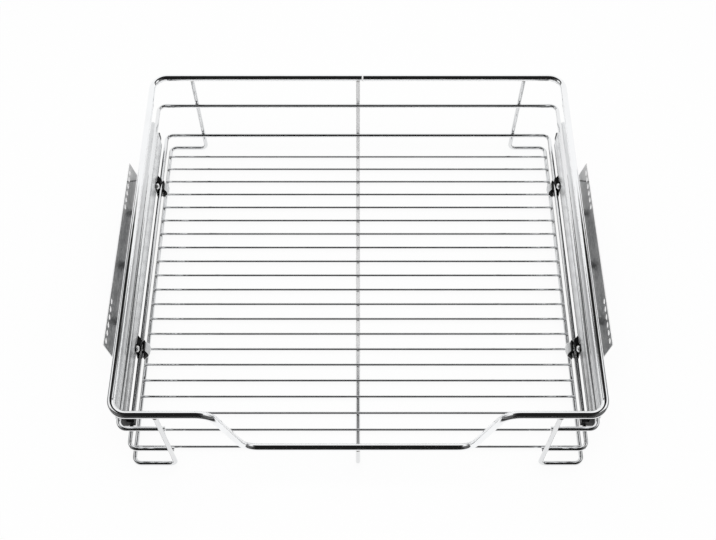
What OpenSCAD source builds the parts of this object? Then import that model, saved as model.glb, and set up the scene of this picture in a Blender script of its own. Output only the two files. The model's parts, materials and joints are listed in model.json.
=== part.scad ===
// Pull-out wire basket for a 600 mm base cabinet, hung between two ball-bearing slides.
// X runs across the cabinet, Y to its back and Z up. The origin is under the middle, at the feet.

/* [Basket] */
// Outside width of the basket
basket_width = 515; // [480:5:515]
// Outside depth of the basket
basket_depth = 455; // [445:5:475]
// Height from the feet to the top of the rim
basket_height = 150; // [144:2:170]
// Distance between the left and right uprights
upright_spacing = 414; // [380:2:420]
// Height of the middle rail above the feet
mid_rail_height = 97; // [90:1:104]
// Height of the low rail above the feet
low_rail_height = 36; // [34:1:40]

/* [Wires] */
// Diameter of the rim wire
rim_wire = 8; // [7:0.5:8]
// Diameter of the rails, runners and uprights
frame_wire = 5; // [4.5:0.5:5]
// Diameter of the floor wires
floor_wire = 3; // [2.5:0.5:3]
// Number of floor wires
floor_count = 21; // [15:2:21]
// Distance between floor wires
floor_pitch = 20.6; // [18:0.2:21]
// Depth to which crossing wires sink into each other at a weld
weld_bite = 0.2; // [0.1:0.05:0.2]

/* [Bends] */
// Bend radius of the rim's corners
rim_bend = 17; // [14:1:22]
// Bend radius of the rim's four bends at the dip
dip_bend = 20; // [16:1:24]
// Bend radius of the rails' corners
rail_bend = 9; // [8:1:12]
// Bend radius of the runners and the centre wire
foot_bend = 8; // [7:1:10]

/* [Front dip] */
// Drop of the rim at the front
dip_drop = 93.6; // [72:2.4:96]
// Width of the dip along its low run
dip_width = 248; // [230:2:256]

/* [Slides] */
// Closed length of a slide
slide_length = 400; // [380:5:400]
// Height of a slide
slide_height = 45; // [45:1:46]
// Gap between the basket's side wires and a slide
slide_gap = 0.8; // [0.7:0.1:1]
// Height of a slide's centre line above the feet
slide_level = 57; // [56:1:58]
// Offset of the slides from the basket's middle, towards the back
slide_offset = 7; // [4:1:8]
// Length of a ball cage
cage_length = 150; // [120:10:160]
// Balls in each row of a cage
balls_per_row = 9; // [5:1:10]

/* [Brackets] */
// Width over the two brackets' outer faces
overall_width = 564; // [562:1:568]
// Length of a bracket's top edge
bracket_length = 248; // [244:2:260]
// Height of a bracket
bracket_height = 60; // [56:1:62]
// Height of a bracket's top edge above the feet
bracket_top = 102.5; // [100:0.5:104]
// Thickness of a bracket's plate
plate_thickness = 1; // [1:0.25:2]
// Diameter of a screw hole
screw_hole = 6.5; // [5:0.5:7]
// Screw holes in each group
holes_per_group = 6; // [2:1:6]
// Distance between screw holes
hole_pitch = 10; // [8:0.5:10]
// Distance between the centres of the front and rear groups
group_spacing = 180; // [170:2:184]

/* [Hidden] */
$fn = 48;
sides = ["left", "right"];
chrome = [0.88, 0.89, 0.9];
zinc = [0.74, 0.75, 0.76];
bracket_grey = [0.47, 0.48, 0.49];
black = [0.07, 0.07, 0.08];

// Wire centre lines
rim_r = rim_wire / 2;
frame_r = frame_wire / 2;
floor_r = floor_wire / 2;
rim_x = basket_width / 2 - rim_r;
rim_y = basket_depth / 2 - rim_r;
rim_z = basket_height - rim_r;
side_x = basket_width / 2 - frame_r;
upright_x = upright_spacing / 2;
upright_y = rim_y + 0.8;
rail_y = upright_y - frame_wire + weld_bite;
rail_end_x = upright_x - frame_r;
foot_z = frame_r;
floor_z = foot_z + frame_r + floor_r - weld_bite;
floor_half = side_x + 1;
butt_bite = 0.35;
upright_top = rim_z - rim_r + butt_bite;
dip_z = rim_z - dip_drop;
// The dip's sides run 7 across to 24 down, so that all its bends start and end at round numbers
dip_slope = 7 / 24;

// Slide section, measured inwards from its outer face and up or down from its centre line
slide_thickness = 12.7;
sheet = 1.2;
groove_gap = 0.05;
outer_ball = 2.4;
inner_ball = 2;
outer_ball_in = 5.2;
outer_ball_up = slide_height / 2 - sheet - groove_gap - outer_ball;
fold_angle = 290;
fold_reach = outer_ball + inner_ball + 2 * groove_gap + sheet;
inner_ball_in = outer_ball_in + fold_reach * cos(fold_angle);
inner_ball_up = outer_ball_up + fold_reach * sin(fold_angle);
drawer_flange = inner_ball_up - (inner_ball + groove_gap + sheet / 2) * sin(30);
drawer_half = drawer_flange + sheet / 2;
middle_web_in = 1.95;
outer_cage_in = 1.35;
inner_cage_in = 3.35;
cage_sheet = 0.4;
cage_flange = 0.5;

// Slide position
face_x = basket_width / 2 + slide_gap;
slide_x = face_x + slide_thickness;
nose_thickness = 4;
slide_rear = slide_offset + slide_length / 2;
nose_front = slide_rear - slide_length;
member_front = nose_front + nose_thickness;
end_gap = 0.5;
slide_middle = (member_front + slide_rear) / 2;
drawer_rear = slide_rear - 10;
middle_rear = slide_rear - 3;
ball_pitch = (cage_length - 14) / (balls_per_row - 1);

// Clips that hold the low rail to the drawer member
clip_spacing = 230;
clip_y = [for (end = [-0.5, 0.5]) 25 + end * clip_spacing];
rail_fit = frame_r + groove_gap;
clip_floor = 1.2;
shelf_top = low_rail_height - rail_fit - clip_floor - groove_gap;
shelf_sheet = 1.3;
shelf_x = face_x - 13.8;
lug_x = face_x - 0.1;
clip_face_x = lug_x - groove_gap;
screw_x = face_x - 1.1;
screw_z = 48;
screw_y = -12;
screw_r = 1.95;

// Brackets
bracket_x = overall_width / 2;
plate_x = bracket_x - plate_thickness;
bracket_front = -bracket_length / 2 + 0.5;
bracket_rear = bracket_front + bracket_length;
front_rake = 8;
rear_rake = 17;
hole_z = bracket_top - 8;
hole_y = [for (group = [-0.5, 0.5], i = [0:holes_per_group - 1])
    0.5 + group * group_spacing + (i - (holes_per_group - 1) / 2) * hole_pitch];
standoff_y = [for (i = [-1:1]) slide_middle - 4 + 76 * i];
standoff_r = 5;
spigot_r = 2.5;
spigot_fit = spigot_r + 0.05;

function floor_name(i) = str("floor_wire_", i < 10 ? "0" : "", i);

// ---- shared shapes ----

function unit(v) = v / norm(v);

// Points along an arc, about 8 degrees apart
function arc(centre, r, from, to) =
    let (steps = ceil(abs(to - from) / 8))
    [for (i = [0:steps]) let (a = from + (to - from) * i / steps) centre + r * [cos(a), sin(a)]];

// A straight round rod between two points, turned so that its seam doesn't meet the seams of the elbows
module rod(from, to, r) {
    run = to - from;
    seam_turn = 270;
    translate(from)
        rotate([0, acos(run.z / norm(run)), atan2(run.y, run.x)])
            rotate(seam_turn) cylinder(h = norm(run), r = r);
}

// A round bend at a corner, between the directions in which the wire arrives and leaves
module elbow(corner, arrive, leave, r, bend) {
    turn = acos(arrive * leave);
    centre = corner + unit(leave - arrive) * bend / cos(turn / 2);
    start = corner - arrive * bend * tan(turn / 2);
    x_axis = (start - centre) / bend;
    z_axis = cross(x_axis, arrive);
    multmatrix([for (i = [0:2]) [x_axis[i], arrive[i], z_axis[i], centre[i]]])
        rotate_extrude(angle = turn) translate([bend, 0]) circle(r);
}

// A wire bent at each inner point of its path, or at every point when it is closed
module bent_wire(path, r, bends, closed = false) {
    count = len(path);
    runs = closed ? count : count - 1;
    step = [for (i = [0:runs - 1]) unit(path[(i + 1) % count] - path[i])];
    before = function (i) step[(i + runs - 1) % runs];
    is_corner = function (i) closed || (i % count > 0 && i % count < count - 1);
    set_back = function (i)
        is_corner(i) ? bends[i % count] * tan(acos(before(i) * step[i % count]) / 2) : 0;
    union() {
        for (i = [0:runs - 1])
            rod(path[i] + step[i] * set_back(i), path[(i + 1) % count] - step[i] * set_back(i + 1), r);
        for (i = [0:count - 1]) if (is_corner(i)) elbow(path[i], before(i), step[i % count], r, bends[i]);
    }
}

module on_side(side) {
    if (side == "left") mirror([1, 0, 0]) children();
    else children();
}

// A box given by its lowest and highest corners
module block(low, high) {
    translate(low) cube(high - low);
}

// Part of a ring between two angles
module arc_band(ball, from, to) {
    inside = ball + groove_gap;
    outside = inside + sheet;
    steps = ceil((to - from) / 45);
    spoke = function (a) 2 * outside * [cos(a), sin(a)];
    intersection() {
        difference() {
            circle(outside);
            circle(inside);
        }
        polygon([[0, 0], for (i = [0:steps]) spoke(from + (to - from) * i / steps)]);
    }
}

// A slide member: a section drawn inwards and upwards, run along the slide
module slide_bar(front, rear) {
    translate([slide_x, rear, slide_level]) rotate([90, 0, 0]) mirror([1, 0]) linear_extrude(rear - front)
        children();
}

// The same half section above and below the slide's centre line
module both_halves() {
    children();
    mirror([0, 1]) children();
}

// ---- basket ----

module rim() {
    dip_low = dip_width / 2;
    dip_high = dip_low + dip_drop * dip_slope;
    color(chrome) bent_wire(
        [
            [rim_x, rim_y, rim_z], [-rim_x, rim_y, rim_z], [-rim_x, -rim_y, rim_z],
            [-dip_high, -rim_y, rim_z], [-dip_low, -rim_y, dip_z],
            [dip_low, -rim_y, dip_z], [dip_high, -rim_y, rim_z], [rim_x, -rim_y, rim_z]
        ],
        rim_r, [rim_bend, rim_bend, rim_bend, dip_bend, dip_bend, dip_bend, dip_bend, rim_bend], true
    );
}

// A rail goes round the rear and both sides, and returns a little way across the front
module rail(height) {
    color(chrome) bent_wire(
        [
            [-rail_end_x, -rail_y, height], [-side_x, -rail_y, height], [-side_x, rail_y, height],
            [side_x, rail_y, height], [side_x, -rail_y, height], [rail_end_x, -rail_y, height]
        ],
        frame_r, [for (i = [0:5]) rail_bend]
    );
}

// A runner is one wire: rear upright, rear foot, side of the floor, front foot and front upright
module runner() {
    color(chrome) bent_wire(
        [
            [upright_x, upright_y, upright_top], [upright_x, upright_y, foot_z],
            [side_x, upright_y, foot_z], [side_x, -upright_y, foot_z],
            [upright_x, -upright_y, foot_z], [upright_x, -upright_y, upright_top]
        ],
        frame_r, [for (i = [0:5]) foot_bend]
    );
}

module centre_wire() {
    color(chrome) bent_wire(
        [
            [0, upright_y, upright_top], [0, upright_y, foot_z],
            [0, -upright_y, foot_z], [0, -upright_y, dip_z - rim_r + butt_bite]
        ],
        frame_r, [for (i = [0:3]) foot_bend]
    );
}

module floor_wire(i) {
    y = (i - (floor_count + 1) / 2) * floor_pitch;
    color(chrome) rod([-floor_half, y, floor_z], [floor_half, y, floor_z], floor_r);
}

// ---- slide ----

module cabinet_section() {
    shelf = outer_ball_up + (outer_ball + groove_gap + sheet / 2) * sin(30);
    both_halves() {
        square([sheet, shelf + sheet / 2]);
        translate([0, shelf - sheet / 2]) square([outer_ball_in - outer_ball, sheet]);
        translate([outer_ball_in, outer_ball_up]) arc_band(outer_ball, 10, 150);
    }
}

// The middle member folds out of its web round the outer row of balls and back round the inner row
module middle_section() {
    outer_row = [outer_ball_in, outer_ball_up];
    inner_row = [inner_ball_in, inner_ball_up];
    outer_groove = outer_ball + groove_gap;
    inner_groove = inner_ball + groove_gap;
    web_gap = outer_ball_in - middle_web_in;
    lip_angle = 14;
    fold_step = 8;
    outside_angle = 180 + acos(web_gap / (outer_groove + sheet));
    inside_angle = 180 + acos((web_gap - sheet) / (outer_groove + sheet));
    upper = [
        outer_row + (outer_groove + sheet) * [cos(outside_angle), sin(outside_angle)],
        each arc(outer_row, outer_groove, outside_angle, fold_angle - fold_step),
        each arc(inner_row, inner_groove + sheet, fold_angle - 180, lip_angle),
        each arc(inner_row, inner_groove, lip_angle, fold_angle - 180 - fold_step),
        each arc(outer_row, outer_groove + sheet, fold_angle, inside_angle)
    ];
    last = len(upper) - 1;
    polygon([each upper, for (i = [0:last]) [upper[last - i].x, -upper[last - i].y]]);
}

module drawer_section() {
    both_halves() {
        translate([slide_thickness - sheet, 0]) square([sheet, drawer_half]);
        translate([inner_ball_in + inner_ball, drawer_flange - sheet / 2])
            square([slide_thickness - inner_ball_in - inner_ball, sheet]);
        translate([inner_ball_in, inner_ball_up]) arc_band(inner_ball, 195, 330);
    }
}

module cabinet_member() {
    color(zinc) difference() {
        slide_bar(member_front + end_gap, slide_rear) cabinet_section();
        for (y = standoff_y) translate([slide_x, y, slide_level]) rotate([0, 90, 0])
            cylinder(h = 4 * sheet, r = spigot_fit, center = true);
    }
}

module middle_member() {
    color(zinc) slide_bar(member_front + 2 * end_gap, middle_rear) middle_section();
}

module drawer_member() {
    color(zinc) difference() {
        slide_bar(member_front, drawer_rear) drawer_section();
        for (y = clip_y) translate([face_x, y + screw_y, screw_z]) rotate([0, 90, 0])
            cylinder(h = 4 * sheet, r = screw_r + groove_gap, center = true);
    }
}

function ball_y() =
    [for (i = [0:balls_per_row - 1]) slide_middle + (i - (balls_per_row - 1) / 2) * ball_pitch];

// A ball cage is a shallow channel whose flanges hold an upper and a lower row of balls
module cage(web_in, ball_in, ball_up, ball) {
    tip = ball_in + ball + 0.9;
    color(zinc) difference() {
        slide_bar(slide_middle - cage_length / 2, slide_middle + cage_length / 2) both_halves() {
            translate([web_in, 0]) square([cage_sheet, ball_up]);
            translate([web_in, ball_up - cage_flange / 2]) square([tip - web_in, cage_flange]);
        }
        for (y = ball_y()) translate([slide_x - ball_in, y, slide_level])
            cylinder(h = slide_height, r = ball + groove_gap, center = true);
    }
}

module balls(ball_in, ball_up, ball) {
    color(chrome) for (y = ball_y(), up = [-ball_up, ball_up])
        translate([slide_x - ball_in, y, slide_level + up]) sphere(ball);
}

// The nose caps the drawer member's front end and reaches over the low rail
module nose() {
    rail_top = low_rail_height + rail_fit;
    plug_half = 8;
    ledge_x = face_x - 8.6;
    color(black) {
        block(
            [side_x + rail_fit, nose_front, low_rail_height + 1],
            [slide_x - 4, member_front, slide_level + 15]
        );
        block([ledge_x, nose_front, rail_top], [clip_face_x, nose_front + 12, rail_top + 11]);
        block(
            [face_x + sheet + groove_gap, member_front, slide_level - plug_half],
            [slide_x - 5, member_front + 10, slide_level + plug_half]
        );
    }
}

// The buffer closes the drawer member's rear end
module buffer() {
    color(black) {
        block([face_x + 0.2, drawer_rear, slide_level - 6], [slide_x - 5, drawer_rear + 6, slide_level + 6]);
        block(
            [face_x + sheet + groove_gap, drawer_rear - 10, slide_level - 6],
            [slide_x - 5, drawer_rear, slide_level + 6]
        );
    }
}

// ---- clips ----

// Steel tabs welded under the drawer member's lower edge, each with a rounded shelf below the low rail
module lugs() {
    front = -16;
    rear = 4;
    round_r = 16;
    shelf_bottom = shelf_top - shelf_sheet;
    color(zinc) for (y = clip_y) translate([0, y, 0]) {
        block([lug_x, front, shelf_bottom], [face_x + sheet, rear, slide_level - drawer_half]);
        intersection() {
            block([shelf_x, front, shelf_bottom], [face_x + sheet, rear, shelf_top]);
            translate([shelf_x + round_r, (front + rear) / 2, shelf_bottom])
                cylinder(h = shelf_sheet, r = round_r);
        }
    }
}

// A plastic clip lies on a lug's shelf, wraps the low rail from below and is screwed to the drawer member.
// A pointed wedge locks it over the rail, and a grip at its front end lets it be pulled off.
module clip(y) {
    front = -18.5;
    rear = 4.2;
    split = [-8.8, -7];
    neck = 1.5;
    base = shelf_top + groove_gap;
    top = low_rail_height + 2.2;
    inner_x = side_x - rail_fit;
    cheek_x = inner_x - 1.25;
    grip_x = inner_x - 1.75;
    grip_reach = 4.7;
    foot_x = inner_x + 1.2;
    wedge_base = low_rail_height + rail_fit + 0.2;
    wedge_top = low_rail_height + 10;
    wedge = [[clip_face_x, 6.6], [side_x - 2.2, 0.6], [side_x - 0.4, -7], [clip_face_x, -7]];
    tab_half = 4.4;
    color(black) translate([0, y, 0]) difference() {
        union() {
            block([cheek_x, split[1], base], [clip_face_x, rear, top]);
            block([foot_x, front, base], [clip_face_x, rear, top]);
            block([grip_x, split[0] - neck, base], [clip_face_x, split[0], top]);
            translate([0, 0, base]) linear_extrude(top - base) polygon([
                [grip_x, front], [grip_x - grip_reach, (front + split[0]) / 2], [grip_x, split[0]]
            ]);
            block([side_x, wedge[3].y, base], [clip_face_x, wedge[1].y, wedge_top]);
            translate([0, 0, wedge_base]) linear_extrude(wedge_top - wedge_base) polygon(wedge);
            block([screw_x, screw_y - tab_half, base], [clip_face_x, screw_y + tab_half, screw_z + tab_half]);
        }
        rod([side_x, front - 1, low_rail_height], [side_x, rear + 1, low_rail_height], rail_fit);
        block([inner_x, front - 1, low_rail_height], [side_x + rail_fit, rear + 1, wedge_base]);
        translate([screw_x, screw_y, screw_z]) rotate([0, 90, 0])
            cylinder(h = 5, r = screw_r + groove_gap, center = true);
    }
}

module clip_screws() {
    head_r = 4;
    head_height = 3;
    shank = 5;
    color(zinc) for (y = clip_y) translate([screw_x, y + screw_y, screw_z]) rotate([0, 90, 0]) {
        translate([0, 0, -head_height]) cylinder(h = head_height, r = head_r);
        cylinder(h = shank, r = screw_r);
    }
}

// ---- bracket ----

// The plate's ends are cut back towards the rear, and its screw holes lie in a front and a rear group
module bracket() {
    bottom = bracket_top - bracket_height;
    color(bracket_grey) difference() {
        translate([plate_x, 0, 0]) rotate([90, 0, 90]) linear_extrude(plate_thickness)
            polygon([
                [bracket_front, bracket_top], [bracket_front + front_rake, bottom],
                [bracket_rear + rear_rake, bottom], [bracket_rear, bracket_top]
            ]);
        for (y = hole_y) translate([plate_x, y, hole_z]) rotate([0, 90, 0])
            cylinder(h = 4 * plate_thickness, d = screw_hole, center = true);
        for (y = standoff_y) translate([plate_x, y, slide_level]) rotate([0, 90, 0])
            cylinder(h = 4 * plate_thickness, r = spigot_fit, center = true);
    }
}

// Shouldered studs that hold the slide's cabinet member off the bracket's plate
module standoffs() {
    color(zinc) for (y = standoff_y) translate([0, y, slide_level]) rotate([0, 90, 0]) {
        translate([0, 0, slide_x]) cylinder(h = plate_x - slide_x, r = standoff_r);
        translate([0, 0, slide_x - sheet]) cylinder(h = bracket_x - 0.1 - slide_x + sheet, r = spigot_r);
    }
}

// ---- parts ----

rim();
rail(mid_rail_height);  // mid_rail
rail(low_rail_height);  // low_rail
centre_wire();
for (i = [1:floor_count]) floor_wire(i);
for (side = sides) {
    on_side(side) runner();
    on_side(side) bracket();
    on_side(side) standoffs();
    on_side(side) cabinet_member();
    on_side(side) cage(outer_cage_in, outer_ball_in, outer_ball_up, outer_ball);
    on_side(side) balls(outer_ball_in, outer_ball_up, outer_ball);
    on_side(side) middle_member();
    on_side(side) cage(inner_cage_in, inner_ball_in, inner_ball_up, inner_ball);
    on_side(side) balls(inner_ball_in, inner_ball_up, inner_ball);
    on_side(side) drawer_member();
    on_side(side) lugs();
    on_side(side) clip(clip_y[1]);
    on_side(side) clip(clip_y[0]);
    on_side(side) clip_screws();
    on_side(side) nose();
    on_side(side) buffer();
}
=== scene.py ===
import json
import math

import bmesh
import bpy
from mathutils import Matrix, Vector, noise

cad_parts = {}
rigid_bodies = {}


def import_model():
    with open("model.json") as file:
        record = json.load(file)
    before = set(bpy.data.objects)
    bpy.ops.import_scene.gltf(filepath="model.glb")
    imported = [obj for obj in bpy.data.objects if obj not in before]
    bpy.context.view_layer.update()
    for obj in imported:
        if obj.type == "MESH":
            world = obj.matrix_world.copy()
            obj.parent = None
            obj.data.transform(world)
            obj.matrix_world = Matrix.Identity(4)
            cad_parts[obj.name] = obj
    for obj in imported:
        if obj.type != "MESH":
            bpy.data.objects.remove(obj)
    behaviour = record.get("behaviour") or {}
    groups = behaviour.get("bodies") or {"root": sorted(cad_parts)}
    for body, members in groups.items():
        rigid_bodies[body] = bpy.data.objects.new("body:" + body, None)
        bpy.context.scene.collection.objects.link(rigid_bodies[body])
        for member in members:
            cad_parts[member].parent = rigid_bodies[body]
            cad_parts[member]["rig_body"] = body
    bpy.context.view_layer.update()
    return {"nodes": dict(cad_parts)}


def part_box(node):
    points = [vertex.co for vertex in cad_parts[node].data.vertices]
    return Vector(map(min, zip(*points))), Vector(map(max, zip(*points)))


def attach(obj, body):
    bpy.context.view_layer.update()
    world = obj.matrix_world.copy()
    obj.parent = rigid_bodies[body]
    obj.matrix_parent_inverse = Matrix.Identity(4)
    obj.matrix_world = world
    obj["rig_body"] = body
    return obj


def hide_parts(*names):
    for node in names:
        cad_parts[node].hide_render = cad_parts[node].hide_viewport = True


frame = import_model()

nodes = frame["nodes"]
mm = 0.001
sideSigns = {"left": -1, "right": 1}
print("frame loaded:", len(nodes), "nodes")


def middleOf(node):
    low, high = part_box(node)
    return (low + high) / 2


def halfSizeOf(node):
    low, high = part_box(node)
    return (high - low) / 2


# where the wires run, each at the middle of its own thickness
floorNodes = sorted(node for node in nodes if node.startswith("floor_wire"))
floorRadius = halfSizeOf(floorNodes[0]).z
frameRadius = halfSizeOf("centre_wire").x
runnerLow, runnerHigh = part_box("right_runner")
sideX = runnerHigh.x - frameRadius
uprightX = runnerLow.x + frameRadius
uprightY = runnerHigh.y - frameRadius
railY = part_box("low_rail")[1].y - frameRadius
railHeights = [middleOf(rail).z for rail in ("mid_rail", "low_rail")]


class Value:
    # an output of a shader node that takes part in sums
    def __init__(self, graph, socket):
        self.graph = graph
        self.socket = socket

    def maths(self, operation, *values):
        return self.graph.node("ShaderNodeMath", {"operation": operation}, dict(enumerate(values)))

    def __add__(self, other):
        return self.maths("ADD", self, other)

    def __sub__(self, other):
        return self.maths("SUBTRACT", self, other)

    def __rsub__(self, other):
        return self.maths("SUBTRACT", other, self)

    def __mul__(self, other):
        return self.maths("MULTIPLY", self, other)

    def __abs__(self):
        return self.maths("ABSOLUTE", self)

    __radd__ = __add__
    __rmul__ = __mul__


class Graph:
    def __init__(self, tree):
        self.tree = tree
        tree.nodes.clear()

    def node(self, kind, settings=None, inputs=None, output=0):
        made = self.tree.nodes.new(kind)
        for name, setting in (settings or {}).items():
            setattr(made, name, setting)
        for name, value in (inputs or {}).items():
            if isinstance(value, Value):
                self.tree.links.new(value.socket, made.inputs[name])
            else:
                made.inputs[name].default_value = value
        return Value(self, made.outputs[output]) if made.outputs else None

    def part(self, vector, axis):
        return self.node("ShaderNodeSeparateXYZ", None, {"Vector": vector}, axis)

    def place(self, stretch=(1, 1, 1)):
        here = self.node("ShaderNodeTexCoord", output="Object")
        return self.node("ShaderNodeMapping", None, {"Vector": here, "Scale": stretch})

    def along(self, axis):
        # how far along an axis the point lies, in metres
        return self.part(self.place(), axis)

    def facing(self, axis):
        # from -1 to 1, how squarely the surface faces along an axis
        return self.part(self.node("ShaderNodeTexCoord", output="Normal"), axis)

    def noise(self, scale, detail, roughness=0.5, stretch=(1, 1, 1)):
        inputs = {"Vector": self.place(stretch), "Scale": scale, "Detail": detail, "Roughness": roughness}
        return self.node("ShaderNodeTexNoise", None, inputs)

    def steps(self, factor, low, high, before=0.0, after=1.0):
        # a smooth change from before to after as factor goes from low to high; low may be the greater one
        settings = {"interpolation_type": "SMOOTHSTEP"}
        bounds = {"Value": factor, "From Min": low, "From Max": high, "To Min": before, "To Max": after}
        return self.node("ShaderNodeMapRange", settings, bounds)

    def patches(self, low, high, **pattern):
        # noise turned into patches with soft edges
        return self.steps(self.noise(**pattern), low, high)

    def mixColours(self, factor, first, second):
        return self.node("ShaderNodeMix", {"data_type": "RGBA"}, {0: factor, 6: first, 7: second}, 2)

    def shader(self, colour, metallic, roughness, height=None, strength=1.0, constants=None):
        # height is the fine relief in metres
        inputs = {"Base Color": colour, "Metallic": metallic, "Roughness": roughness, **(constants or {})}
        if height is not None:
            relief = {"Height": height, "Strength": strength, "Distance": 1.0}
            inputs["Normal"] = self.node("ShaderNodeBump", None, relief)
        return self.node("ShaderNodeBsdfPrincipled", None, inputs)


def grey(level, tint=(1, 1, 1)):
    return (level * tint[0], level * tint[1], level * tint[2], 1)


def makeMaterial(name, build):
    material = bpy.data.materials.new(name)
    material.use_nodes = True
    graph = Graph(material.node_tree)
    surface = build(graph)
    graph.node("ShaderNodeOutputMaterial", None, {"Surface": surface})
    return material


platingTint = (0.99, 1, 1.01)
chromeLook = {
    "bright": grey(0.93, platingTint),
    "rail": grey(0.84, platingTint),
    "thin": grey(0.76, platingTint),  # the runners and centre wire are darker than rim and rails
    "darkest": grey(0.69, platingTint),  # and the floor wires darkest, a painted shade
    "dull": grey(0.84),
    # painted shade: a grey for the wires' darker reflections, and a near-black for the gap beside the slide
    "haze": grey(0.5),
    "grime": grey(0.04, (1, 0.98, 0.95)),
    "palerRear": grey(0.8),
    "film": {"scale": 25, "detail": 3, "low": 0.45, "high": 0.7},
    "filmShare": 0.35,
    "pits": {"scale": 420, "detail": 2, "low": 0.66, "high": 0.74},
    "pitShare": 0.4,
    "roughness": (0.035, 0.1),  # where it is clean, and under the film
    "pitRoughness": 0.12,
    "palerRearRoughness": 0.4,
    "palerRearMatt": 0.8,
    "waves": {"scale": 60, "detail": 1},
    "waveHeight": 0.00006,
    "grain": {"scale": 900, "detail": 2},
    "grainHeight": 0.000004,
}


def plated(graph, bright, ripple=0, palerRear=0, **covers):
    # polished plating: painted shade, a near-black painted shade of the gap and a paler matt layer cover it
    # where they are 1, and ripple adds to its waves
    look = chromeLook
    film = graph.patches(**look["film"])
    pits = graph.patches(**look["pits"])
    colour = graph.mixColours(film * look["filmShare"] + pits * look["pitShare"], bright, look["dull"])
    for name, cover in {**covers, "palerRear": palerRear}.items():
        colour = graph.mixColours(cover, colour, look[name])
    clean, filmed = look["roughness"]
    roughness = clean + (filmed - clean) * film + look["pitRoughness"] * pits + look["palerRearRoughness"] * palerRear
    waves = graph.noise(**look["waves"]) * look["waveHeight"]
    grain = graph.noise(**look["grain"]) * look["grainHeight"]
    return graph.shader(colour, 1.0 - look["palerRearMatt"] * palerRear, roughness, waves + grain + ripple)


def chromeWire(graph):
    return plated(graph, chromeLook["bright"])


def midRailChrome(graph):
    return plated(graph, chromeLook["rail"])


floorWireLook = {
    "warpStart": (0.186, 0.2),  # these two are distances from the basket's middle
    "warpEnd": (0.232, 0.24),
    "warp": {"scale": 1, "detail": 1, "stretch": (95, 1, 1)},
    "warpHeight": 0.0007,
}


def floorWireChrome(graph):
    # the heat of welding took a little straightness out of the wires near their ends
    look = floorWireLook
    aside = abs(graph.along("X"))
    warped = graph.steps(aside, *look["warpStart"]) * (1 - graph.steps(aside, *look["warpEnd"]))
    ripple = graph.noise(**look["warp"]) * warped * look["warpHeight"]
    return plated(graph, chromeLook["darkest"], ripple)


lowRailLook = {
    "haze": (0.0005, 0.0013),  # these two are distances from the rail's inner side
    "grime": (0.0028, 0.0035),
    "upward": (-0.1, 0.1),
    "slideHalf": (0.175, 0.195),  # the painted shade of the gap reaches no further along the rail than this
}


def lowRailChrome(graph):
    # painted shade on the side runs' inner side, and a near-black painted shade of the gap beside the slide
    # over the upper half of their outer one
    look = lowRailLook
    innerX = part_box("low_rail")[1].x - 2 * frameRadius
    aside = abs(graph.along("X")) - innerX
    clear, edge = look["haze"]
    # painted shade along the rail's inner side
    haze = graph.steps(aside, -clear, 0) * (1 - graph.steps(aside, clear, edge))
    besideSlide = 1 - graph.steps(abs(graph.along("Y")), *look["slideHalf"])
    upward = graph.steps(graph.facing("Z"), *look["upward"])
    # painted shade of the dark gap between the slide and the rail
    grime = graph.steps(aside, *look["grime"]) * upward * besideSlide
    return plated(graph, chromeLook["rail"], haze=haze, grime=grime)


runnerLook = {
    "hazeTop": (0.0048, 0.0054),  # heights
    "hazeSide": (0.0006, 0.0012),  # distances outwards from the wire's middle
}


def runnerChrome(graph):
    # painted shade: under the floor wires the outer half of the wire is painted grey
    outer = graph.steps(abs(graph.along("X")) - sideX, *runnerLook["hazeSide"])
    low = 1 - graph.steps(graph.along("Z"), *runnerLook["hazeTop"])
    return plated(graph, chromeLook["thin"], haze=outer * low)


centreWireLook = {"palerRearFrom": (-0.17, -0.05)}


def centreWireChrome(graph):
    # the wire is paler and matter behind its front, and this fades out towards the front
    palerRear = graph.steps(graph.along("Y"), *centreWireLook["palerRearFrom"])
    return plated(graph, chromeLook["thin"], palerRear=palerRear)


weldLook = {
    "metal": grey(0.62, (1, 0.985, 0.96)),
    "heat": grey(0.25, (1, 0.93, 0.86)),
    "stain": {"scale": 300, "detail": 3, "low": 0.4, "high": 0.62},
    "ripples": {"scale": 1500, "detail": 2},
    "rippleHeight": 0.00003,
    "roughness": 0.22,
    "stainRoughness": 0.2,
}


def weldMetal(graph):
    look = weldLook
    stain = graph.patches(**look["stain"])
    colour = graph.mixColours(stain, look["metal"], look["heat"])
    roughness = look["roughness"] + look["stainRoughness"] * stain
    return graph.shader(colour, 1.0, roughness, graph.noise(**look["ripples"]) * look["rippleHeight"])


groundLook = {
    "pale": grey(0.95),
    "scratched": grey(0.7),
    "scratches": {"scale": 1, "detail": 3, "roughness": 0.6, "stretch": (1800, 60, 60)},
    "scratchEdge": (0.5, 0.7),
    "scratchHeight": 0.00002,
    "metal": 0.15,
    "roughness": 0.45,
    "scratchRoughness": 0.2,
}


def groundWeld(graph):
    # the rim's joint was ground after plating, so it is matt, with scratches round the wire
    look = groundLook
    scratches = graph.noise(**look["scratches"])
    scratched = graph.steps(scratches, *look["scratchEdge"])
    colour = graph.mixColours(scratched, look["pale"], look["scratched"])
    roughness = look["roughness"] + look["scratchRoughness"] * scratched
    return graph.shader(colour, look["metal"], roughness, scratches * look["scratchHeight"])


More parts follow.
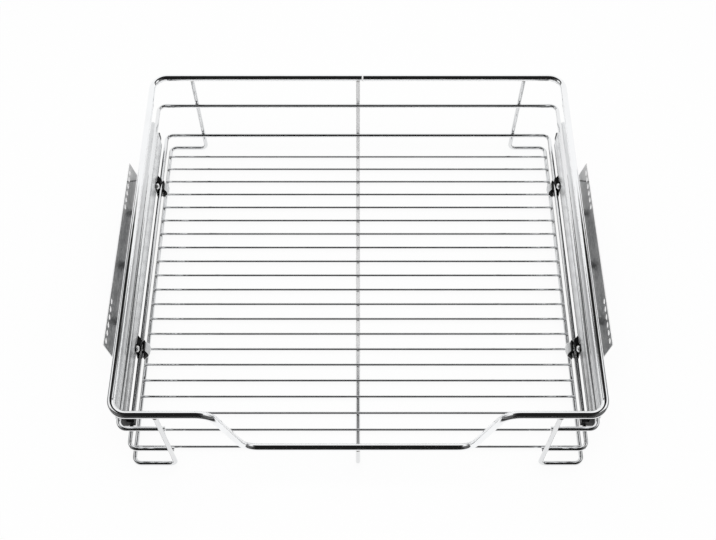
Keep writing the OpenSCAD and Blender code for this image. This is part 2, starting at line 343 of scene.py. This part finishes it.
slideLook = {
    "light": grey(0.95, (0.985, 0.995, 1.005)),
    "dark": grey(0.56, (0.98, 1, 1.01)),
    "streaks": {"scale": 1, "detail": 3, "roughness": 0.65, "stretch": (900, 5, 900)},
    "streakEdge": (0.42, 0.7),
    "streakShare": 0.55,
    "streakHeight": 0.00002,
    "bands": {"scale": 1, "detail": 2, "stretch": (70, 1.5, 160), "low": 0.4, "high": 0.7},
    "bandShare": 0.45,
    "clouds": {"scale": 18, "detail": 3},
    "metal": 0.7,
    "roughness": 0.2,
    "streakRoughness": 0.18,
    "cloudRoughness": 0.1,
}
shadeCoverLook = {
    # painted shade: near-black along the drawer member's lower edge
    "colour": grey(0.02, (1, 0.98, 0.94)),
    "line": (0.0448, 0.0465),  # the drawer member is painted dark below this height, painted shade
    "front": (-0.05, -0.15),  # and the painted shade is streaked over the face in front of this depth
    "shadeStreaks": {"scale": 1, "detail": 2, "stretch": (1, 3, 230), "low": 0.38, "high": 0.6},
    "shadeStreakShare": 0.8,
    "inward": (-0.1, -0.2),
}


def rolledSteel(graph, greaseAndShade=0, metal=slideLook["metal"]):
    # rolled sheet, with streaks and bands that run the length of the slide
    look = slideLook
    streaks = graph.noise(**look["streaks"])
    streaked = graph.steps(streaks, *look["streakEdge"])
    shade = look["streakShare"] * streaked + look["bandShare"] * graph.patches(**look["bands"])
    colour = graph.mixColours(shade, look["light"], look["dark"])
    # painted shade darkens the steel where this mask is 1
    colour = graph.mixColours(greaseAndShade, colour, shadeCoverLook["colour"])
    clouds = graph.noise(**look["clouds"])
    roughness = look["roughness"] + look["streakRoughness"] * streaks + look["cloudRoughness"] * clouds
    return graph.shader(colour, metal, roughness, streaks * look["streakHeight"])


def slideSteel(graph):
    return rolledSteel(graph)


def shadedSteel(graph):
    # painted shade covers the lower edge, and is streaked over the front end
    look = shadeCoverLook
    above = graph.steps(graph.along("Z"), *look["line"])
    front = graph.steps(graph.along("Y"), *look["front"])
    shadeStreaks = look["shadeStreakShare"] * front * graph.patches(**look["shadeStreaks"])
    # only the face that looks at the basket carries the painted shade
    inward = graph.steps(graph.facing("X") * graph.along("X"), *look["inward"])
    return rolledSteel(graph, inward * (1 - above * (1 - shadeStreaks)))


lugLook = {"metal": 0.1}


def lugSteel(graph):
    # the tabs have a paler, matt plating
    return rolledSteel(graph, metal=lugLook["metal"])


zincLight = grey(0.56)
zincDark = grey(0.25, (0.98, 1, 1.02))
bracketLook = {
    "zinc": grey(0.37, (0.99, 1, 1.005)),
    # over the zinc lie these, in this order, each with its share and its colour
    "layers": {
        "dirt": (1, zincDark),
        "grain": (0.5, zincLight),
        "darkSpecks": (0.55, zincDark),
        "paleSpecks": (0.5, zincLight),
        # painted reflection and painted shade: a lighter rear, a paler end and a dark line
        "rear": (0.8, zincLight),
        "tip": (0.8, grey(0.72)),
        "shadeLine": (1, grey(0.05)),
        "bare": (1, grey(0.95)),
    },
    "mottle": {"scale": 38, "detail": 4, "roughness": 0.6},
    "mottleShare": 0.6,
    "mottleHeight": 0.0001,
    "drift": {"scale": 9, "detail": 2},
    "driftShare": 0.4,
    "dirtEdge": (0.42, 0.62),
    "grain": {"scale": 1, "detail": 3, "roughness": 0.6, "stretch": (300, 40, 300)},
    "grainEdge": (0.5, 0.7),
    "grainHeight": 0.00002,
    "specks": {"scale": 330, "detail": 2},
    "darkEdge": (0.5, 0.62),
    "paleEdge": (0.46, 0.36),
    "spangleScale": 140,
    "slant": 0.75,  # the plate's ends slant back by this much as they go down
    "rearLightEdge": (0.118, 0.138),  # the zinc is painted lighter behind this slanted depth, a painted reflection
    "rearWander": 0.05,
    "tipEdge": (0.1735, 0.1755),  # a painted dark line of shade, and behind it a paler, matt end, a painted reflection
    "shadeLineHalf": (0.0006, 0.0014),
    "bareEdge": (0.6, 0.2),
    "metal": 0.85,
    "bareMatt": 0.75,
    "tipMatt": 0.6,
    "roughness": 0.38,
    "spangleRoughness": 0.16,
    "mottleRoughness": 0.12,
    "bareRoughness": 0.22,
}


def bracketSteel(graph):
    # galvanised plate with a soft mottle, whose sheared edges and hole walls are bare metal
    look = bracketLook
    mottle = graph.noise(**look["mottle"])
    drift = graph.noise(**look["drift"])
    grain = graph.noise(**look["grain"])
    specks = graph.noise(**look["specks"])
    depth = graph.along("Y") + look["slant"] * graph.along("Z")
    facing = graph.facing("X")
    masks = {
        "dirt": graph.steps(mottle * look["mottleShare"] + drift * look["driftShare"], *look["dirtEdge"]),
        "grain": graph.steps(grain, *look["grainEdge"]),
        "darkSpecks": graph.steps(specks, *look["darkEdge"]),
        "paleSpecks": graph.steps(specks, *look["paleEdge"]),
        # painted reflection towards the rear end, and a painted line of shade across the plate
        "rear": graph.steps(depth + look["rearWander"] * (drift - 0.5), *look["rearLightEdge"]),
        "tip": graph.steps(depth, *look["tipEdge"]),
        "shadeLine": 1 - graph.steps(abs(depth - look["tipEdge"][0]), *look["shadeLineHalf"]),
        "bare": graph.steps(facing * facing, *look["bareEdge"]),
    }
    colour = look["zinc"]
    for name, (share, shade) in look["layers"].items():
        colour = graph.mixColours(share * masks[name], colour, shade)
    bare, tip = masks["bare"], masks["tip"]
    spangleInputs = {"Vector": graph.place(), "Scale": look["spangleScale"]}
    spangle = graph.node("ShaderNodeTexVoronoi", None, spangleInputs, "Distance")
    coated = look["roughness"] + look["spangleRoughness"] * spangle + look["mottleRoughness"] * (mottle - 0.5)
    roughness = coated + bare * (look["bareRoughness"] - coated)
    metallic = look["metal"] - look["bareMatt"] * bare - look["tipMatt"] * tip * (1 - bare)
    height = grain * look["grainHeight"] + mottle * look["mottleHeight"]
    return graph.shader(colour, metallic, roughness, height)


cageLook = {
    "light": grey(0.62),
    "dark": grey(0.42, (1, 0.98, 0.93)),
    "brushing": {"scale": 12, "detail": 3, "roughness": 0.6, "stretch": (30, 6, 30)},
    "brushEdge": (0.4, 0.65),
    "brushHeight": 0.00003,
    "roughness": 0.26,
    "brushRoughness": 0.2,
}


def cageSteel(graph):
    look = cageLook
    brushing = graph.noise(**look["brushing"])
    colour = graph.mixColours(graph.steps(brushing, *look["brushEdge"]), look["light"], look["dark"])
    roughness = look["roughness"] + look["brushRoughness"] * brushing
    return graph.shader(colour, 1.0, roughness, brushing * look["brushHeight"])


ballLook = {
    "clean": grey(0.9),
    "greasy": grey(0.5, (1, 0.93, 0.76)),
    "greaseAndShade": {"scale": 240, "detail": 3, "low": 0.5, "high": 0.66},
    "roughness": 0.05,
    "greaseRoughness": 0.25,
}


def ballSteel(graph):
    look = ballLook
    greaseAndShade = graph.patches(**look["greaseAndShade"])
    colour = graph.mixColours(greaseAndShade, look["clean"], look["greasy"])
    return graph.shader(colour, 1.0, look["roughness"] + look["greaseRoughness"] * greaseAndShade)


screwLook = {
    "bright": grey(0.9, (0.99, 1, 1.02)),
    "worn": grey(0.6, (1, 0.99, 0.95)),
    "wear": {"scale": 500, "detail": 3, "low": 0.42, "high": 0.66},
    "grain": {"scale": 1800, "detail": 2},
    "grainHeight": 0.00002,
    "roughness": 0.16,
    "wearRoughness": 0.15,
}


def screwSteel(graph):
    look = screwLook
    wear = graph.patches(**look["wear"])
    colour = graph.mixColours(wear, look["bright"], look["worn"])
    roughness = look["roughness"] + look["wearRoughness"] * wear
    return graph.shader(colour, 1.0, roughness, graph.noise(**look["grain"]) * look["grainHeight"])


plasticLook = {
    "black": grey(0.004, (1, 1, 1.04)),
    "rubbed": grey(0.014, (1, 1, 1.02)),
    "rub": {"scale": 120, "detail": 3, "low": 0.5, "high": 0.7},
    "grain": {"scale": 2600, "detail": 2},
    "grainHeight": 0.00003,
    "grainStrength": 0.8,
    "roughness": 0.4,
    "rubShine": 0.12,
    "gloss": {"Specular IOR Level": 0.07},
}


def blackPlastic(graph):
    # moulded plastic: fine spark grain, rubbed a little shinier in patches
    look = plasticLook
    rub = graph.patches(**look["rub"])
    colour = graph.mixColours(rub, look["black"], look["rubbed"])
    roughness = look["roughness"] - look["rubShine"] * rub
    height = graph.noise(**look["grain"]) * look["grainHeight"]
    return graph.shader(colour, 0.0, roughness, height, look["grainStrength"], look["gloss"])


slotFinishes = {
    "chrome_wire": (
        chromeWire, midRailChrome, lowRailChrome, runnerChrome, centreWireChrome, floorWireChrome,
        weldMetal, groundWeld,
    ),
    "slide_steel": (slideSteel, shadedSteel, lugSteel),
    "bracket_steel": (bracketSteel,),
    "cage_steel": (cageSteel,),
    "ball_steel": (ballSteel,),
    "screw_steel": (screwSteel,),
    "black_plastic": (blackPlastic,),
}
finishes = {}
for slot, builders in slotFinishes.items():
    for builder in builders:
        finishes[builder.__name__] = makeMaterial(builder.__name__, builder)
print("finishes made:", len(finishes))


def bodyOf(node):
    return nodes[node]["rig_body"]


def newPiece(name, work, finish, body, smoothAngle=35):
    bmesh.ops.recalc_face_normals(work, faces=work.faces)
    mesh = bpy.data.meshes.new(name)
    work.to_mesh(mesh)
    work.free()
    piece = bpy.data.objects.new(name, mesh)
    bpy.context.scene.collection.objects.link(piece)
    mesh.materials.append(finishes[finish])
    mesh.shade_smooth()
    mesh.set_sharp_from_angle(angle=math.radians(smoothAngle))
    if body:
        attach(piece, body)
    return piece


copyCleaning = {"merge": 0.001, "flat": 0.5}  # in millimetres, and in degrees


def nodeCopy(node):
    # the node's mesh with its doubled points merged and its flat faces made whole
    source = nodes[node].data
    work = bmesh.new()
    corners = [work.verts.new(vertex.co) for vertex in source.vertices]
    for polygon in source.polygons:
        work.faces.new([corners[i] for i in polygon.vertices])
    bmesh.ops.remove_doubles(work, verts=work.verts, dist=copyCleaning["merge"] * mm)
    flat = math.radians(copyCleaning["flat"])
    bmesh.ops.dissolve_limit(work, angle_limit=flat, verts=work.verts, edges=work.edges)
    return work


bevelShape = {"segments": 2, "angle": 40}


def addBevel(piece, width):
    bevel = piece.modifiers.new("edges", "BEVEL")
    bevel.width = width * mm
    bevel.segments = bevelShape["segments"]
    bevel.limit_method = "ANGLE"
    bevel.angle_limit = math.radians(bevelShape["angle"])
    bevel.use_clamp_overlap = True


def softened(node, finish, width):
    # the same part with its sheared or moulded edges rounded
    piece = newPiece(node + "Finished", nodeCopy(node), finish, bodyOf(node))
    addBevel(piece, width)
    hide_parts(node)


def lathe(work, profile, steps, placing):
    # turns points of radius and height round an axis, where a radius of 0 is a single point
    rings = []
    for radius, height in profile:
        turns = steps if radius > 0 else 1
        angles = [2 * math.pi * i / steps for i in range(turns)]
        rings.append([
            work.verts.new(placing @ Vector((radius * math.cos(a), radius * math.sin(a), height)))
            for a in angles
        ])
    for lower, upper in zip(rings, rings[1:]):
        for i in range(steps):
            j = (i + 1) % steps
            corners = [
                lower[i % len(lower)], lower[j % len(lower)], upper[j % len(upper)], upper[i % len(upper)]
            ]
            face = list(dict.fromkeys(corners))
            if len(face) > 2:
                work.faces.new(face)


def applyModifiers(piece):
    bpy.context.view_layer.update()
    evaluated = piece.evaluated_get(bpy.context.evaluated_depsgraph_get())
    mesh = bpy.data.meshes.new_from_object(evaluated)
    piece.modifiers.clear()
    piece.data = mesh


def cutWith(piece, cutters):
    for cutter in cutters:
        cut = piece.modifiers.new("cut", "BOOLEAN")
        cut.operation = "DIFFERENCE"
        cut.solver = "EXACT"
        cut.object = cutter
    applyModifiers(piece)
    for cutter in cutters:
        bpy.data.objects.remove(cutter)


def boxCutter(low, high):
    # a box to cut with, whose corners are in millimetres
    work = bmesh.new()
    bmesh.ops.create_cube(work, size=1)
    low, high = Vector(low) * mm, Vector(high) * mm
    for vertex in work.verts:
        vertex.co = Vector([low[i] + (vertex.co[i] + 0.5) * (high[i] - low[i]) for i in range(3)])
    return newPiece("cutter", work, "blackPlastic", None)


cameraPlace = {"height": 1.0912, "back": -0.6052, "tilt": 30.29, "lens": 49.93, "sensor": 36}


def makeCamera():
    lens = bpy.data.cameras.new("camera")
    lens.sensor_width = cameraPlace["sensor"]
    lens.lens = cameraPlace["lens"]
    camera = bpy.data.objects.new("camera", lens)
    camera.location = (0, cameraPlace["back"], cameraPlace["height"])
    camera.rotation_euler = (math.radians(cameraPlace["tilt"]), 0, 0)
    bpy.context.scene.collection.objects.link(camera)
    bpy.context.scene.camera = camera


makeCamera()
print("camera placed")


studio = {
    "ambient": 0.62,
    "horizon": (-0.01, 0.01),
    "darkAbove": 0.012,
    "greySides": 0.12,
    "sideEdge": (0.02, 0.4),
    "floorSize": 12,
    "floorShade": 0.96,
    "floorGlow": 0.9,  # share of the floor's white that no shadow takes away
    "floorFront": (-0.32, -0.42),  # between these depths the floor that the metal mirrors turns grey
    "floorGrey": 0.05,
    "rearBoard": {"depth": 0.955, "halfWidth": 1.5, "rise": (0, 0.01), "fade": (1.4, 1.62), "low": 1.0},
    "sideBoard": {"depth": (-0.3, 0.48), "across": 1.03, "rise": (0.1, 0.9), "fade": (1.7, 2.0), "low": 0.12},
    "lampHeight": 2.2,
    "lampSize": 1.8,
    "lampPower": 22,
}


def rayIs(graph, kind):
    return graph.node("ShaderNodeLightPath", output=f"Is {kind} Ray")


def glow(graph, level):
    return graph.node("ShaderNodeEmission", None, {"Color": level, "Strength": 1.0})


def makeWorld():
    # white to the camera, soft on the object, and in the metal dark above with grey sides
    world = bpy.data.worlds.new("studio")
    bpy.context.scene.world = world
    world.use_nodes = True
    world.cycles.sampling_method = "NONE"
    graph = Graph(world.node_tree)
    direction = graph.node("ShaderNodeTexCoord", output="Generated")
    height, across = graph.part(direction, "Z"), graph.part(direction, "X")
    aside = graph.steps(across * across, *studio["sideEdge"], studio["darkAbove"], studio["greySides"])
    below = 1 - graph.steps(height, *studio["horizon"])
    mirrored = below + (1 - below) * aside
    plain = rayIs(graph, "Camera") + rayIs(graph, "Transmission")
    glossy = rayIs(graph, "Glossy")
    level = plain + glossy * mirrored + (1 - plain - glossy) * studio["ambient"]
    background = graph.node("ShaderNodeBackground", None, {"Color": level, "Strength": 1.0})
    graph.node("ShaderNodeOutputWorld", None, {"Surface": background})


def floorWhite(graph):
    board = graph.node("ShaderNodeBsdfDiffuse", None, {"Color": grey(studio["floorShade"])})
    white = glow(graph, grey(1))
    pale = graph.node("ShaderNodeMixShader", None, {0: studio["floorGlow"], 1: board, 2: white})
    dim = graph.steps(graph.along("Y"), *studio["floorFront"]) * rayIs(graph, "Glossy")
    dark = glow(graph, grey(studio["floorGrey"]))
    return graph.node("ShaderNodeMixShader", None, {0: dim, 1: pale, 2: dark})


def boardWhite(graph, board):
    height = graph.along("Z")
    rising = graph.steps(height, *board["rise"], board["low"], 1.0)
    return glow(graph, rising * graph.steps(height, *board["fade"], 1.0, studio["greySides"]))


def makeSheet(name, corners, build):
    material = makeMaterial(name, build)
    material.cycles.emission_sampling = "NONE"
    mesh = bpy.data.meshes.new(name)
    mesh.from_pydata(corners, [], [range(len(corners))])
    mesh.materials.append(material)
    sheet = bpy.data.objects.new(name, mesh)
    bpy.context.scene.collection.objects.link(sheet)
    return sheet


def makeBoard(name, start, end, board):
    # a standing pale board that only the metal's reflections see
    top = board["fade"][1]
    corners = [(*start, 0), (*end, 0), (*end, top), (*start, top)]
    sheet = makeSheet(name, corners, lambda graph: boardWhite(graph, board))
    sheet.visible_camera = False
    sheet.visible_diffuse = False
    sheet.visible_transmission = False
    sheet.visible_shadow = False


def makeLamp():
    lamp = bpy.data.lights.new("softLamp", "AREA")
    lamp.size = studio["lampSize"]
    lamp.energy = studio["lampPower"]
    holder = bpy.data.objects.new("softLamp", lamp)
    holder.location = (0, 0, studio["lampHeight"])
    holder.visible_glossy = False
    bpy.context.scene.collection.objects.link(holder)


def makeStudio():
    makeWorld()
    half = studio["floorSize"] / 2
    makeSheet("floor", [(-half, -half, 0), (half, -half, 0), (half, half, 0), (-half, half, 0)], floorWhite)
    board = studio["rearBoard"]
    depth, wide = board["depth"], board["halfWidth"]
    makeBoard("rearBoard", (-wide, depth), (wide, depth), board)
    board = studio["sideBoard"]
    front, rear = board["depth"]
    for side, sign in sideSigns.items():
        x = sign * board["across"]
        makeBoard(side + "Board", (x, front), (x, rear), board)
    makeLamp()


makeStudio()
bpy.context.scene.view_settings.view_transform = "Standard"
print("studio lit")


wireFinishes = {
    "rim": "chromeWire",
    "mid_rail": "midRailChrome",
    "low_rail": "lowRailChrome",
    "left_runner": "runnerChrome",
    "right_runner": "runnerChrome",
    "centre_wire": "centreWireChrome",
    **dict.fromkeys(floorNodes, "floorWireChrome"),
}


def dressNode(node, finish):
    slots = nodes[node].data.materials
    slots.clear()
    slots.append(finishes[finish])


for node, finish in wireFinishes.items():
    dressNode(node, finish)
print("wires dressed:", len(wireFinishes))


beads = {
    "floor": (1.9, 2.0, 0.7),  # half sizes in millimetres
    "rail": (2.2, 0.75, 2.2),
    "floorLift": 0.05,  # from the floor wire's underside to the bead's middle
    "jitter": 0.18,
    "lumps": 1.7,
    # the beads' lumps differ, because their noise moves on by so much per wire, and per metre
    "floorSeed": {"wire": 3.1, "across": 900},
    "railSeed": {"across": 700, "level": 50},
    "middleSeed": {"level": 20},
}


def addBead(work, centre, halfSize, seed):
    # a pressed resistance weld: a flat nugget a little out of round
    made = bmesh.ops.create_icosphere(work, subdivisions=2, radius=1)
    for vertex in made["verts"]:
        swell = 1 + beads["jitter"] * noise.noise(vertex.co * beads["lumps"] + Vector((seed, 0, 0)))
        vertex.co = centre + Vector([vertex.co[i] * halfSize[i] * mm * swell for i in range(3)])


def makeFloorWelds():
    work = bmesh.new()
    seed = beads["floorSeed"]
    for count, node in enumerate(floorNodes):
        y, z = middleOf(node).y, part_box(node)[0].z + beads["floorLift"] * mm
        for x in (-sideX, 0, sideX):
            addBead(work, Vector((x, y, z)), beads["floor"], seed["wire"] * count + seed["across"] * x)
    newPiece("floorWelds", work, "weldMetal", "basket")


def makeRailWelds():
    work = bmesh.new()
    joinY = (railY + uprightY) / 2
    seed = beads["railSeed"]
    for level in railHeights:
        for x in (-uprightX, uprightX):
            for end in (-1, 1):
                own = seed["across"] * x + seed["level"] * level + end
                addBead(work, Vector((x, end * joinY, level)), beads["rail"], own)
        addBead(work, Vector((0, joinY, level)), beads["rail"], beads["middleSeed"]["level"] * level)
    newPiece("railWelds", work, "weldMetal", "basket")


rimCollar = {
    # radius and height in millimetres, from the top of the upright
    "outline": [(0, -2.2), (2.52, -2.0), (2.62, -1.2), (2.9, -0.5), (3.3, 0.1), (3.1, 0.9), (0, 1.2)],
    "steps": 20,
    "smooth": 60,
}


def makeRimWelds():
    # a low collar where each upright is butted under the rim
    work = bmesh.new()
    tops = [(x, y, runnerHigh.z) for x in (-uprightX, uprightX) for y in (-uprightY, uprightY)]
    frontHeights = [v.co.z for v in nodes["centre_wire"].data.vertices if v.co.y < 0]
    tops += [(0, uprightY, runnerHigh.z), (0, -uprightY, max(frontHeights))]
    outline = [(radius * mm, height * mm) for radius, height in rimCollar["outline"]]
    for top in tops:
        lathe(work, outline, rimCollar["steps"], Matrix.Translation(top))
    newPiece("rimWelds", work, "weldMetal", "basket", rimCollar["smooth"])


buttWeld = {
    "x": 5.6,
    "wire": 4.0,  # the rim wire's radius
    "sunk": 0.02,
    "half": 1.0,
    "bulge": 0.28,
    "shoulder": (0.7, 0.45),  # shares of the bulge and of the half length
    "steps": 40,
    "smooth": 60,
}


def makeButtWeld():
    # the rim's two ends meet at the rear, where the joint was ground almost flush
    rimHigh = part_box("rim")[1]
    wire, half, bulge = buttWeld["wire"], buttWeld["half"], buttWeld["bulge"]
    bulgeShare, halfShare = buttWeld["shoulder"]
    flank = [
        (wire + bulge * bulgeShare, half * halfShare),
        (wire - buttWeld["sunk"], half),
        (0, half),
    ]
    outline = [(radius, -height) for radius, height in reversed(flank)] + [(wire + bulge, 0)] + flank
    centre = Matrix.Translation((buttWeld["x"] * mm, rimHigh.y - wire * mm, rimHigh.z - wire * mm))
    lengthwise = centre @ Matrix.Rotation(math.radians(90), 4, "Y")
    work = bmesh.new()
    lathe(work, [(radius * mm, height * mm) for radius, height in outline], buttWeld["steps"], lengthwise)
    newPiece("rimButtWeld", work, "groundWeld", "basket", buttWeld["smooth"])


wireEnd = {
    # shares of the wire's radius, and heights in millimetres
    "dome": [(0, 0.35), (0.5, 0.32), (0.85, 0.2), (1.0, 0.0), (1.0, -0.3), (0, -0.3)],
    "steps": 24,
    "smooth": 50,
}


def addWireEnd(work, place, direction, radius):
    turned = Matrix.Translation(place) @ Matrix.Rotation(math.radians(90 * direction), 4, "Y")
    dome = [(share * radius, height * mm) for share, height in wireEnd["dome"]]
    lathe(work, dome, wireEnd["steps"], turned)


def makeWireEnds():
    # cropped ends: each has a slightly domed face
    work = bmesh.new()
    for node in floorNodes:
        low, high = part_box(node)
        middle = middleOf(node)
        for direction, x in ((-1, low.x), (1, high.x)):
            addWireEnd(work, (x, middle.y, middle.z), direction, floorRadius)
    for level in railHeights:
        for sign in (-1, 1):
            addWireEnd(work, (sign * (uprightX - frameRadius), -railY, level), -sign, frameRadius)
    newPiece("wireEnds", work, "chromeWire", "basket", wireEnd["smooth"])


makeFloorWelds()
makeRailWelds()
makeRimWelds()
makeButtWeld()
makeWireEnds()
print("welds made")


# each with the rounding of its edges in millimetres
slidePieces = {
    "bracket": ("bracketSteel", 0.3),
    "standoffs": ("slideSteel", 0.35),
    "cabinet_member": ("slideSteel", 0.18),
    "middle_member": ("slideSteel", 0.15),
    # its finish carries painted shade along the lower edge
    "drawer_member": ("shadedSteel", 0.2),
    "lugs": ("lugSteel", 0.25),
    "rear_clip": ("blackPlastic", 0.3),
    "front_clip": ("blackPlastic", 0.3),
    "buffer": ("blackPlastic", 0.5),
}


def dressSlide(side):
    for part, (finish, rounding) in slidePieces.items():
        softened(f"{side}_{part}", finish, rounding)
    for row in ("outer", "inner"):
        dressNode(f"{side}_{row}_cage", "cageSteel")
        dressNode(f"{side}_{row}_balls", "ballSteel")


noseSlots = {
    "count": 4,
    "top": 3,
    "pitch": 3.4,
    "width": 0.8,
    "depth": 1.2,
    "ends": (9, 1.2),  # how far the slots stay from the cap's lower and higher side in X
    "clear": 1,
    "rounding": 0.25,
}


def makeNose(side):
    # the cap's face is ribbed by narrow slots
    node = f"{side}_nose"
    low, high = (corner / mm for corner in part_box(node))
    start, end = noseSlots["ends"]
    piece = newPiece(node + "Finished", nodeCopy(node), "blackPlastic", bodyOf(node))
    cutters = []
    for i in range(noseSlots["count"]):
        z = high.z - noseSlots["top"] - noseSlots["pitch"] * i
        nearCorner = (low.x + start, low.y - noseSlots["clear"], z - noseSlots["width"])
        cutters.append(boxCutter(nearCorner, (high.x - end, low.y + noseSlots["depth"], z)))
    cutWith(piece, cutters)
    addBevel(piece, noseSlots["rounding"])
    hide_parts(node)


clipScrew = {
    "shankLength": 5,
    "endDepth": 0.01,  # points this near to the shank's end belong to it
    "chamfer": (0.5, 0.6),  # of the shank's tip, across and along
    # the pan head's outline as shares of its radius and height, from the crown to the seat
    "crown": [(0, 1), (0.3, 1), (0.62, 0.94), (0.86, 0.74), (0.98, 0.42), (1, 0.1), (0.985, 0)],
    "recess": {"half": 0.55, "reach": 2.3, "depth": 2.0, "clear": 1},
    "steps": 32,
    "smooth": 50,
}


def screwPlaces(node):
    # the node holds two screws, one before and one behind its middle
    vertices = [v.co for v in nodes[node].data.vertices]
    middle = middleOf(node).y
    for half in (-1, 1):
        own = [v for v in vertices if (v.y - middle) * half > 0]
        yield [Vector([pick(v[i] for v in own) for i in range(3)]) / mm for pick in (min, max)]


def shankRadius(node):
    # the shank's end lies furthest out from the basket, and is measured on the front screw
    vertices = [v.co for v in nodes[node].data.vertices]
    near = max(abs(v.x) for v in vertices) - clipScrew["endDepth"] * mm
    ends = [v.z for v in vertices if abs(v.x) > near and v.y < 0]
    return (max(ends) - min(ends)) / 2 / mm


def makeClipScrews(side):
    # pan heads with a cross recess
    node, sign = f"{side}_clip_screws", sideSigns[side]
    shank = shankRadius(node)
    tip = -clipScrew["shankLength"]
    across, along = clipScrew["chamfer"]
    recess = clipScrew["recess"]
    thin, long = recess["half"], recess["reach"]
    work = bmesh.new()
    cutters = []
    for low, high in screwPlaces(node):
        radius = (high.z - low.z) / 2
        head = high.x - low.x - clipScrew["shankLength"]
        crownX = low.x if sign > 0 else high.x
        y, z = (low.y + high.y) / 2, (low.z + high.z) / 2
        outline = [(share * radius, lift * head) for share, lift in clipScrew["crown"]]
        outline += [(shank, 0), (shank, tip + along), (shank - across, tip), (0, tip)]
        seat = Matrix.Translation(Vector((crownX + sign * head, y, z)) * mm)
        turned = seat @ Matrix.Rotation(math.radians(-90 * sign), 4, "Y")
        lathe(work, [(r * mm, height * mm) for r, height in outline], clipScrew["steps"], turned)
        start, end = sorted((crownX - sign * recess["clear"], crownX + sign * recess["depth"]))
        cutters.append(boxCutter((start, y - thin, z - long), (end, y + thin, z + long)))
        cutters.append(boxCutter((start, y - long, z - thin), (end, y + long, z + thin)))
    piece = newPiece(node + "Finished", work, "screwSteel", bodyOf(node), clipScrew["smooth"])
    cutWith(piece, cutters)
    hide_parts(node)


for side in sideSigns:
    dressSlide(side)
    makeNose(side)
    makeClipScrews(side)
print("slides dressed")
